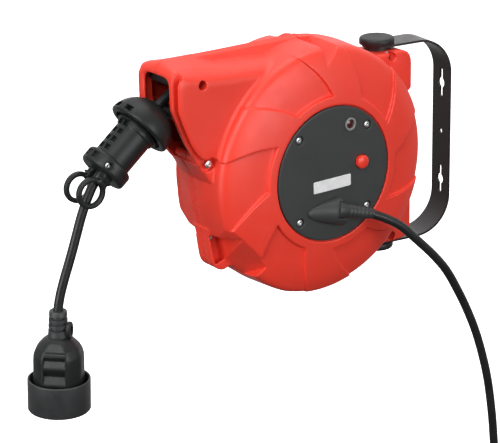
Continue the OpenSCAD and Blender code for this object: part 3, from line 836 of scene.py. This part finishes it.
def screw_shape(head_r, head_t, shaft_r, length):
    """A cross-headed screw along +Z with its head's face at 0, dipping to -head_t"""
    def field(x, y, z):
        r = np.hypot(x, y)
        head = smax(every(r - head_r, z), -head_t - z, 0.1)
        dome = np.sqrt(r * r + (z + 2.2 * head_r) ** 2) - 2.2 * head_r
        head = smax(head, dome, 0.4)
        shaft = every(r - shaft_r, z + head_t / 2, -z - head_t - length)
        arm = 0.16 * head_r
        cross = np.minimum(np.maximum(np.abs(x) - arm, np.abs(y) - 0.62 * head_r),
                           np.maximum(np.abs(y) - arm, np.abs(x) - 0.62 * head_r))
        cross = np.maximum(cross, -z - 0.75 * head_t + 0.9 * r)
        return smax(np.minimum(head, shaft), -cross, 0.15)
    reach = max(head_r, shaft_r)
    return level_surface(field, (-reach, -reach, -head_t - length), (reach, reach, 0), 0.3)


def screws(name, spots, nodes, head_r=3.5, head_t=2.0, shaft_r=2.0):
    """Screws joined into one piece; a spot is (x, y, z, length, direction its head faces)"""
    made = []
    for k, (x, y, z, length, facing) in enumerate(spots):
        turn = turned_by(25 + 37 * k, "Z")
        at = axis_matrix((x, y, z), facing, (0.3, 0.1, 1)) @ turn
        made.append(placed(screw_shape(head_r, head_t, shaft_r, length), at))
    return piece(name, joined(*made), "steel", nodes, 60)


FRONT, REAR = (0, -1, 0), (0, 1, 0)
COVER_SCREW_AT = 42


def cover_screw_spots(facing):
    y = facing[1] * (FACE_D - 0.7)
    return [(sx * COVER_SCREW_AT, y, sz * COVER_SCREW_AT, 6.5, facing)
            for sx in (-1, 1) for sz in (-1, 1)]


def make_screws():
    screws("side_cover_screws", cover_screw_spots(FRONT), ["cover_screws"])
    screws("back_cover_screws", cover_screw_spots(REAR), ["rear_cover_screws"])
    spots = [(x, -depth, z, length, FRONT) for (x, z), _, _, depth, length in JOINING_SCREWS]
    screws("housing_screws", spots, ["shell_screws"], 4.0)


make_screws()


# ---------- side covers ----------

COVER_R = 68.0
COVER_T = 3
BUTTON_AT = (34, 6)
LENS_AT = (20, 47)


def cover_shape(holes, boss):
    """Cover with its face at z 0 and its edge rounded, screw recesses and the given holes"""
    def field(x, y, z):
        r = np.hypot(x, y)
        disc = smax(r - COVER_R, z, 1.6)
        disc = np.maximum(disc, -COVER_T - z)
        if boss:
            disc = np.minimum(disc, every(r - 14, z + 1, -7 - z))
            disc = np.maximum(disc, -every(r - 7.05, z + 2))
        for sx in (-1, 1):
            for sy in (-1, 1):
                away = from_axis(x, y, (sx * COVER_SCREW_AT, sy * COVER_SCREW_AT))
                recess = np.minimum(np.maximum(away - 4.6, -z - 2.4), away - 2.1)
                disc = smax(disc, -recess, 0.6)
        for at, radius in holes:
            disc = smax(disc, -(from_axis(x, y, at) - radius), 0.6)
        return disc
    low = -7 if boss else -COVER_T
    return level_surface(field, (-COVER_R, -COVER_R, low), (COVER_R, COVER_R, 0), 0.7)


def on_face(x=0.0, z=0.0, out=0.0):
    """Frame on the front cover's face, with +Z out of it and +Y up"""
    return moved(x, -FACE_D - out, z) @ UPRIGHT


def make_covers():
    holes = [(BUTTON_AT, 7.1), (LENS_AT, 5.5)]
    piece("front_cover", placed(cover_shape(holes, False), on_face(out=-0.4)), "cover_plastic",
          ["side_cover"], most=60000)
    flip = turned_by(180, "Z") @ on_face(out=-0.4)
    piece("back_cover", placed(cover_shape([], True), flip), "cover_plastic", ["rear_cover"],
          most=50000)


def rounded_box(half, radius):
    outline = []
    for cx, cy, start in ((1, 1, 0), (-1, 1, 90), (-1, -1, 180), (1, -1, 270)):
        centre = (cx * (half[0] - radius), cy * (half[1] - radius))
        outline += arc(centre, radius, start, start + 90, 5)
    return outline


def make_face_parts():
    plate = placed(prism(rounded_box((23, 6), 1.2), 0, 0.6), on_face(-3, -9.5))
    piece("blank_plate", plate, "plate_metal", ["name_plate"], soften=0.25)
    bezel = [(4.5, -2.6), (5.4, -2.6), (5.4, 0), (6.6, 0), (6.6, 0.7)]
    bezel += arc((5.9, 0.5), 0.7, 0, 90, 4) + [(5.1, 1.2), (4.5, 0.5)]
    piece("indicator_ring", placed(lathe(bezel, 48), on_face(*LENS_AT)), "bezel_plastic",
          ["indicator_bezel"])
    lens = [(0, -2.6), (4.4, -2.6), (4.4, -0.4), (3.4, 0.05), (2.2, 0.35), (1.1, 0.5), (0, 0.56)]
    piece("indicator_dome", placed(lathe(lens, 48), on_face(*LENS_AT)), "lens_plastic",
          ["indicator_lens"])
    button = [(0, -11), (4, -11), (4, -2), (6.8, -2), (6.8, 2.2)]
    button += arc((4.6, 2.2), 2.2, 0, 80, 6)[1:] + [(3.2, 4.9), (0, 5.1)]
    piece("button_head", placed(lathe(button, 64), on_face(*BUTTON_AT)), "button_plastic",
          ["reset_button"], 50, "button")


make_covers()
make_face_parts()


# ---------- gland and relief of the feed cord ----------

GLAND_TIP = (-32, -35)
GLAND_L = 36


def gland_field(x, y, z):
    """Wedge-shaped boss that widens from its tip to the mouth that the cord leaves"""
    d = -y - FACE_D
    u = x - GLAND_TIP[0]
    share = np.clip(u / GLAND_L, 0, 1)
    v = z - GLAND_TIP[1] + 3.6 * share
    width = 2.5 + 12.7 * share ** 0.62
    height = 1.5 + 16.5 * share ** 1.1
    oval = np.sqrt((v / width) ** 2 + (np.maximum(d, 0) / height) ** 2) - 1
    body = oval * np.minimum(width, height) * 0.8
    body = smax(body, u - GLAND_L, 1.2)
    body = np.maximum(body, -u - 1)
    return np.maximum(body, -d)


def along_cord(start, end):
    """Frame at one route point with +Z towards another"""
    return axis_matrix(start, Vector(end) - Vector(start))


def make_gland():
    way = along_cord(FEED_ROUTE[0], FEED_ROUTE[2])
    inverse = np.array(way.inverted())

    def field(x, y, z):
        local = [inverse[k, 0] * x + inverse[k, 1] * y + inverse[k, 2] * z + inverse[k, 3]
                 for k in range(3)]
        mouth = np.maximum(np.hypot(local[0], local[1]) - 8.8, -5 - local[2])
        return smax(gland_field(x, y, z), -mouth, 0.8)
    piece("gland_boss", level_surface(field, (-35, -79, -56), (5, -59, -20), 0.5),
          "cover_plastic", ["cord_gland"], 55)
    relief = [(4.55, -6), (8.4, -6), (8.4, -1)]
    for k in range(7):
        r = 7.3 - 0.27 * k
        z = 1.0 + 4.2 * k
        relief += [(r, z), (r - 0.1, z + 3.0), (r - 0.42, z + 3.3), (r - 0.45, z + 3.9)]
    relief += [(5.4, 30.6), (5.1, 31.6), (4.55, 32)]
    piece("feed_relief", placed(lathe(relief, 48), way), "black_rubber", ["cord_relief"], 50)


make_gland()


# ---------- stopper ----------

STOPPER_AT = (-188.3, 0, 67.4)
STOPPER_AXIS = Vector((23.3, 0, 18.6)).normalized()
STOPPER_UP = Vector((-STOPPER_AXIS.z, 0, STOPPER_AXIS.x))
DOME_R = 32
DOME_H = 30
BODY_R = 18.6
BODY_L = 38.5
DOME_S = 1.3        # the dome's rim sits this far up the stopper's axis
FLANGE_R = 23.6
FLANGE_L = 15
BOLT_S, BOLT_T = -47.5, 11.5        # the flange's screw, along the axis and up from it
RING_MID = (-248.5, 11, 22)
RING_MID_R = 12.8


def stopper_field(x, y, z):
    """Front half of the stopper, in the reel's frame"""
    px, pz = x - STOPPER_AT[0], z - STOPPER_AT[2]
    s = px * STOPPER_AXIS.x + pz * STOPPER_AXIS.z
    t = px * STOPPER_UP.x + pz * STOPPER_UP.z
    r = np.hypot(t, y)
    up = s - DOME_S
    dome = (np.sqrt((r / DOME_R) ** 2 + (np.maximum(up, 0) / DOME_H) ** 2) - 1) * 29
    dome = smax(dome, -up - 0.5, 3)
    under = every(r - 25.5, up - 3, -3 - up)
    cone = every(r - 22.5 + 0.45 * s, s - 14, -1 - s)
    step = every(r - 20, s - 14, -5 - s)
    dome = smax(dome, -under, 1.2)
    body = every(r - BODY_R, s - 14, -s - BODY_L - 2)
    flange_s = s + BODY_L + FLANGE_L / 2
    flange = smax(r - FLANGE_R, np.abs(flange_s) - FLANGE_L / 2, 4)
    shape = smin(np.minimum(np.minimum(dome, cone), step), np.minimum(body, flange), 1.0)
    slots = [(at, 2.6, 7.2, BODY_R - 3.6) for at in (-4, -13.5, -23, -32.5)]
    for at, half_l, half_w, bottom in slots + [(-46, 3.2, 8.5, FLANGE_R - 3.0)]:
        slot = every(np.abs(s - at) - half_l, np.abs(y) - half_w, bottom - t)
        slot = np.maximum(slot, 1.1 - np.abs(y))
        shape = smax(shape, -slot, 0.5)
    slot = every(np.abs(s - 6.5) - 2.6, np.abs(np.abs(y) - 8) - 4.5, 24.5 - t)
    shape = smax(shape, -slot, 0.5)
    hole = every(np.hypot(s - BOLT_S, t - BOLT_T) - 3.6, y + 17)
    shape = smax(shape, -hole, 0.5)
    shape = smax(shape, -(r - OUTLET_D / 2 - 0.1), 0.4)
    neck_s = s + BODY_L + FLANGE_L + 3
    neck = block(neck_s, t, y + RING_MID[1], (8, 5.5, 3.6), 2)
    rib = block(neck_s + 2, t, y + RING_MID[1] + 1, (1.2, 6, 4.4), 1)
    ring_x, ring_z = x - RING_MID[0], z - RING_MID[2]
    away = np.hypot(ring_x, ring_z)
    band = smax(np.abs(away - RING_MID_R) - 2.4, np.abs(y + RING_MID[1]) - 2.8, 2.0)
    neck = smin(np.minimum(neck, rib), band, 1.5)
    neck = np.maximum(neck, -(away - RING_MID_R + 2.3))
    shape = smin(shape, neck, 0.8)
    return np.maximum(shape, y + SEAM)


def make_stopper():
    low, high = (-268, -32, 2), (-160, 0, 104)
    shape = level_surface(stopper_field, low, high, 0.8)
    front = new_object("stopper_front", shape)
    thin(front, 90000)
    rear = new_object("stopper_rear", ([], []))
    rear.data = front.data.copy()
    rear.data.transform(REEL @ Matrix.Scale(-1, 4, (0, 1, 0)) @ REEL.inverted())
    rear.data.flip_normals()
    dress(front, "housing", "black_plastic", ["front_stopper_half"], 50)
    dress(rear, "housing", "black_plastic", ["rear_stopper_half"], 50)
    at = Vector(STOPPER_AT) + BOLT_S * STOPPER_AXIS + BOLT_T * STOPPER_UP
    screw = screws("stopper_bolt", [(at.x, -17.6, at.z, 30, FRONT)], ["stopper_screws"], 3.2,
                   1.8, 1.5)
    return front, rear, screw


STOPPER = make_stopper()


# ---------- socket ----------

SOCKET_X = -287.5
SOCKET_HUB_Z = -175         # the socket leans about this height
SOCKET_LEAN = 2.5           # degrees
BOOT_TOP = -89
BOOT_LOW = -113.5
GRIP_R = 25.2
GRIP_LOW = -186
COLLAR_R = 30
COLLAR_TOP = -156.6
COLLAR_LOW = -188
PANEL_TURN = math.radians(43)      # the flat panel faces between -Y and -X
HOOK_TURN = 38
PIN_X = 9.5                        # a plug's pins are this far from its middle


def in_socket(x=0.0, y=0.0, z=0.0):
    lean = turned_by(SOCKET_LEAN, "Y")
    return moved(SOCKET_X, 0, SOCKET_HUB_Z) @ lean @ moved(x, y, z - SOCKET_HUB_Z)


GRIP_PROFILE = [(GRIP_R, -200), (GRIP_R, -140), (GRIP_R - 0.1, -132), (21.8, -124),
                (16.3, -117.8), (11, BOOT_LOW - 0.6), (0, BOOT_LOW - 0.6)]
FACETS = [(0, 21.6), (48.5, 23.9), (90, 23.4), (131.5, 23.9)]      # turn from the panel, distance
SCOOPS = [(-127.5, -133, -139.5, 3.6), (-141.5, -148.5, -156.5, 4.0)]    # top, middle, low, depth


def grip_field(x, y, z):
    """Socket's body: faceted round a grip panel with two scoops, and shouldered at its top"""
    r = np.hypot(x, y)
    out = -math.sin(PANEL_TURN) * x - math.cos(PANEL_TURN) * y
    side = math.cos(PANEL_TURN) * x - math.sin(PANEL_TURN) * y
    shape = convex(r, z, GRIP_PROFILE, 3)
    heights = [point[1] for point in GRIP_PROFILE[:-1]]
    share = np.interp(z, heights, [point[0] / GRIP_R for point in GRIP_PROFILE[:-1]])
    for turn, distance in FACETS:
        a = math.radians(turn)
        across = np.abs(out * math.cos(a) + side * math.sin(a))
        shape = smax(shape, (across - distance * share) * 0.8, 0.8)
    for top, middle, low, deep in SCOOPS:
        dip = np.interp(z, (low, middle, top), (0, deep, 0))
        scoop = every(FACETS[0][1] - dip - np.abs(out), np.abs(side) - 10.3, z - top, low - z,
                      k=0.4)
        shape = smax(shape, -scoop, 0.6)
    for at in (-125.5, -159.5, -163.5):
        groove = every(19 - np.abs(out), np.abs(side) - 11, np.abs(z - at) - 0.6)
        groove = np.maximum(groove, FACETS[0][1] * share - 1 - np.abs(out))
        shape = smax(shape, -groove, 0.5)
    shape = np.maximum(shape, GRIP_LOW - z)
    mouth = every(r - 21, z - GRIP_LOW - 20)
    return smax(shape, -mouth, 0.5)


def boot_shape():
    profile = [(4.65, BOOT_TOP), (7.9, BOOT_TOP), (8.4, BOOT_TOP - 0.6), (8.7, BOOT_TOP - 4.9)]
    for k in range(3):
        z = BOOT_TOP - 5.4 - 5.6 * k
        r = 8.7 + 0.3 * k
        profile += [(r - 2.0, z - 0.4), (r - 2.0, z - 1.8), (r + 0.2, z - 2.1), (r + 0.3, z - 5.2)]
    profile += [(9.9, BOOT_LOW + 1.2), (9.9, BOOT_LOW - 1), (4.65, BOOT_LOW - 1)]
    return lathe(profile[::-1], 56)


def collar_shape():
    """Splash collar: a wide ring with a gap inside its top rim and a web that holds it"""
    inner, outer = GRIP_R + 0.1, COLLAR_R
    profile = [(inner, COLLAR_LOW + 12), (outer - 2, COLLAR_LOW + 10.5)]
    profile += [(outer - 2, COLLAR_LOW + 0.6)]
    profile += [(outer - 1.4, COLLAR_LOW), (outer - 0.8, COLLAR_LOW), (outer, COLLAR_LOW + 1)]
    profile += [(outer, COLLAR_TOP - 1.2)] + arc((outer - 1, COLLAR_TOP - 1), 1, 0, 180, 6)
    profile += [(outer - 2.1, COLLAR_LOW + 16.5), (inner, COLLAR_LOW + 16)]
    return lathe(profile, 96)


def hook_field(x, y, z):
    """Flat loop beside the boot, for hanging up the socket"""
    away = np.hypot(x * 1.5, z + 107.5)
    lug = every(np.abs(y + 11.2) - 2.1, away - 8.6, k=1.5)
    return smax(lug, -(away - 4.6), 0.8)


def make_socket():
    grip = level_surface(grip_field, (-25, -25, GRIP_LOW), (25, 25, BOOT_LOW), 0.6)
    hook = level_surface(hook_field, (-7, -14, -116), (7, -9, -96), 0.5)
    face = level_surface(face_field, (-21, -21, GRIP_LOW), (21, 21, GRIP_LOW + 20), 0.6)
    tubes = [placed(lathe([(1.5, 0), (2.4, 0), (2.4, 1.5), (1.5, 1.5)], 32),
                    in_socket(s * PIN_X, 0, GRIP_LOW + 18.1)) for s in (-1, 1)]
    tip = [(0, 0), (1.0, 0.1), (1.9, 0.8), (2.4, 2), (2.4, 18), (0, 18)]
    here = in_socket()
    beside = here @ turned_by(HOOK_TURN, "Z")
    return [
        piece("socket_grip", placed(grip, here), "black_plastic", ["socket_body"], 50,
              most=90000),
        piece("socket_sleeve", placed(boot_shape(), here), "black_rubber", ["socket_boot"], 50),
        piece("socket_hook", placed(hook, beside), "black_plastic"),
        piece("splash_collar", placed(collar_shape(), here), "black_rubber", ["socket_collar"],
              50),
        piece("socket_face", placed(face, here), "black_plastic", ["socket_insert"], 50,
              most=40000),
        piece("contact_sleeves", joined(*tubes), "brass", ["socket_contacts"]),
        piece("earth_contact", placed(lathe(tip, 40), in_socket(0, 9, GRIP_LOW + 1)), "steel",
              ["earth_pin"]),
    ]


def face_field(x, y, z):
    """Round insert with a recess, two holes for a plug's pins and one for the earth pin"""
    r = np.hypot(x, y)
    shape = every(r - 20.9, z - GRIP_LOW - 19.9, GRIP_LOW - z)
    shape = smax(shape, -smax(r - 19.5, z - GRIP_LOW - 14, 1), 0.4)
    for at, radius in (((PIN_X, 0), 2.6), ((-PIN_X, 0), 2.6), ((0, 9), 2.5)):
        shape = smax(shape, -(from_axis(x, y, at) - radius), 0.5)
    return shape


SOCKET = make_socket()


# ---------- plug, coil tie ----------

PLUG_AT = (220, -69, -500)


def make_plug():
    down = moved(*PLUG_AT) @ turned_by(180, "X")
    profile = [(4.55, 0), (6.3, 0)]
    for k in range(5):
        r, z = 6.5 + 0.25 * k, 1 + 4 * k
        profile += [(r, z), (r + 0.1, z + 2.3), (r - 0.8, z + 2.7), (r - 0.8, z + 3.7)]
    profile += [(8, 22), (12, 26)] + arc((13, 34), 6, -50, 0, 5) + [(18.6, 50)]
    profile += arc((17.2, 52.4), 1.6, 0, 90, 4) + [(0, 54), (0, 14), (4.55, 14)]
    plug = piece("plug_grip", placed(lathe(profile, 64), down), "black_rubber", ["plug_body"],
                 50)
    pin = [(0, 53.5), (2.4, 53.5), (2.4, 71), (1.9, 72.4), (1.2, 73), (0, 73)]
    pins = [placed(lathe(pin, 32), down @ moved(s * PIN_X)) for s in (-1, 1)]
    return plug, piece("plug_prongs", joined(*pins), "steel", ["plug_pins"])


def make_tie():
    """Strap closed round the coil's turns, its end lapped and stood off a little"""
    half_u, half_v = FEED_D / 2 + 1.1, 2 * FEED_D - 3.0
    outline = rounded_box((half_u + 1.3, half_v + 1.3), 4.5)
    inner = rounded_box((half_u, half_v), 3.4)
    n = len(outline)
    verts = [(x, y, z) for z in (-6, 6) for x, y in outline + inner]
    faces = []
    for k in range(n):
        j = (k + 1) % n
        faces += [[k, j, j + 2 * n, k + 2 * n], [n + j, n + k, n + k + 2 * n, n + j + 2 * n],
                  [j, k, n + k, n + j], [2 * n + k, 2 * n + j, 3 * n + j, 3 * n + k]]
    lap = prism([(half_u + 1.3, -9), (half_u + 2.4, -9), (half_u + 2.4, 8), (half_u + 1.3, 10)],
                -5.6, 5.6)
    at = moved(COIL_AT[0] - COIL_R, COIL_AT[1], COIL_AT[2])
    tie = placed(joined((np.array(verts, float), faces), lap), at)
    return piece("coil_strap", tie, "tie_fabric", ["coil_tie"], soften=0.3)


PLUG = make_plug()
TIE = make_tie()


# ---------- bracket ----------

STRAP_W = 30
STRAP_T = 2.4
STRAP_H = 212
PIVOT_REACH = 82
STRAP_CORNER = 40
SLOT_SPACING = 105
SLOT_LENGTH = 31
SLOT_W = 5
SLOT_EYE_R = 5.5
CENTRE_HOLE_R = 2.75
PIN_R = 6.05
CAP_R, CAP_T, CAP_EDGE = 17.8, 6.9, 2.6


def strap_outline():
    h, r, t = STRAP_H / 2, STRAP_CORNER, STRAP_T
    end = -PIVOT_REACH - STRAP_W
    points = [(end, h)] + arc((-r, h - r), r, 90, 0, 28) + arc((-r, r - h), r, 0, -90, 28)
    points += [(end, -h), (end, t - h)] + arc((-r, r - h), r - t, -90, 0, 28)
    return points + arc((-r, h - r), r - t, 0, 90, 28) + [(end, h - t)]


def keyhole(z):
    """Slot through the strap with a round eye in its middle"""
    half_l, half_w = SLOT_LENGTH / 2 - SLOT_W / 2, SLOT_W / 2
    meet = math.degrees(math.asin(half_w / SLOT_EYE_R))
    outline = arc((0, 0), SLOT_EYE_R, meet, 180 - meet, 16)
    outline += arc((-half_l, 0), half_w, 90, 270, 12)
    outline += arc((0, 0), SLOT_EYE_R, 180 + meet, 360 - meet, 16)
    outline += arc((half_l, 0), half_w, -90, 90, 12)
    return placed(prism(outline, -STRAP_T - 2, 2), moved(z=z) @ turned_by(90, "Y"))


def circle_cutter(radius, matrix, low, high):
    return placed(prism(arc((0, 0), radius, 0, 351, 39), low, high), matrix)


def make_strap():
    half = STRAP_W / 2
    strap = new_object("strap", placed(prism(strap_outline(), -half, half), UPRIGHT), ROW)
    plan = [(2, -half), (2, half)] + arc((-PIVOT_REACH, 0), half, 90, 270, 28)
    carve(strap, [prism(plan, -STRAP_H, STRAP_H)], "INTERSECT")
    cutters = [keyhole(SLOT_SPACING / 2), keyhole(-SLOT_SPACING / 2),
               circle_cutter(CENTRE_HOLE_R, turned_by(90, "Y"), -STRAP_T - 2, 2),
               circle_cutter(PIN_R, moved(-PIVOT_REACH), -STRAP_H, STRAP_H)]
    carve(strap, cutters)
    dress(strap, "bracket", "strap_paint", ["wall_bracket"], 35, soften=0.4)


def make_caps():
    profile = [(0, 2.6), (8.6, 2.6), (8.6, 0), (CAP_R - 0.3, 0), (CAP_R, 0.4)]
    profile += arc((CAP_R - CAP_EDGE, CAP_T - CAP_EDGE), CAP_EDGE, 0, 84, 8)
    profile += [(CAP_R - 6, CAP_T - 0.05), (0, CAP_T)]
    for name, node, turn in (("upper_button", "upper_cap", 0), ("lower_button", "lower_cap", 180)):
        at = moved(-PIVOT_REACH) @ (turned_by(turn, "X") @ moved(z=STRAP_H / 2))
        dress(new_object(name, placed(lathe(profile, 72), at), ROW), "bracket", "black_cap", [node])


make_strap()
make_caps()


# ---------- winding on the spool ----------

FLANGES_AT = (-30.7, 19.7)
HUB_R = 45.4
LAYERS = 5
LAYER_T = 9.35


def make_winding():
    """The stored cable in layers on the hub, each turn beside the last"""
    low, high = FLANGES_AT[0] + OUTLET_D / 2, FLANGES_AT[1] - OUTLET_D / 2
    turns = int((high - low) / OUTLET_D)
    pitch = (high - low) / turns
    points, per_turn = [], 28
    for layer in range(LAYERS):
        radius = HUB_R + OUTLET_D / 2 + LAYER_T * layer
        for k in range(turns * per_turn):
            share = k / per_turn * pitch
            y = low + share if layer % 2 == 0 else high - share
            a = 2 * math.pi * k / per_turn
            grow = LAYER_T * np.clip((k - (turns - 0.4) * per_turn) / (0.4 * per_turn), 0, 1)
            r = radius + (grow if layer < LAYERS - 1 else 0)
            points.append((r * math.cos(a), y, r * math.sin(a)))
    cord_piece("stored_cable", points, OUTLET_D, ["wound_cable"], "spool", 10)


make_winding()
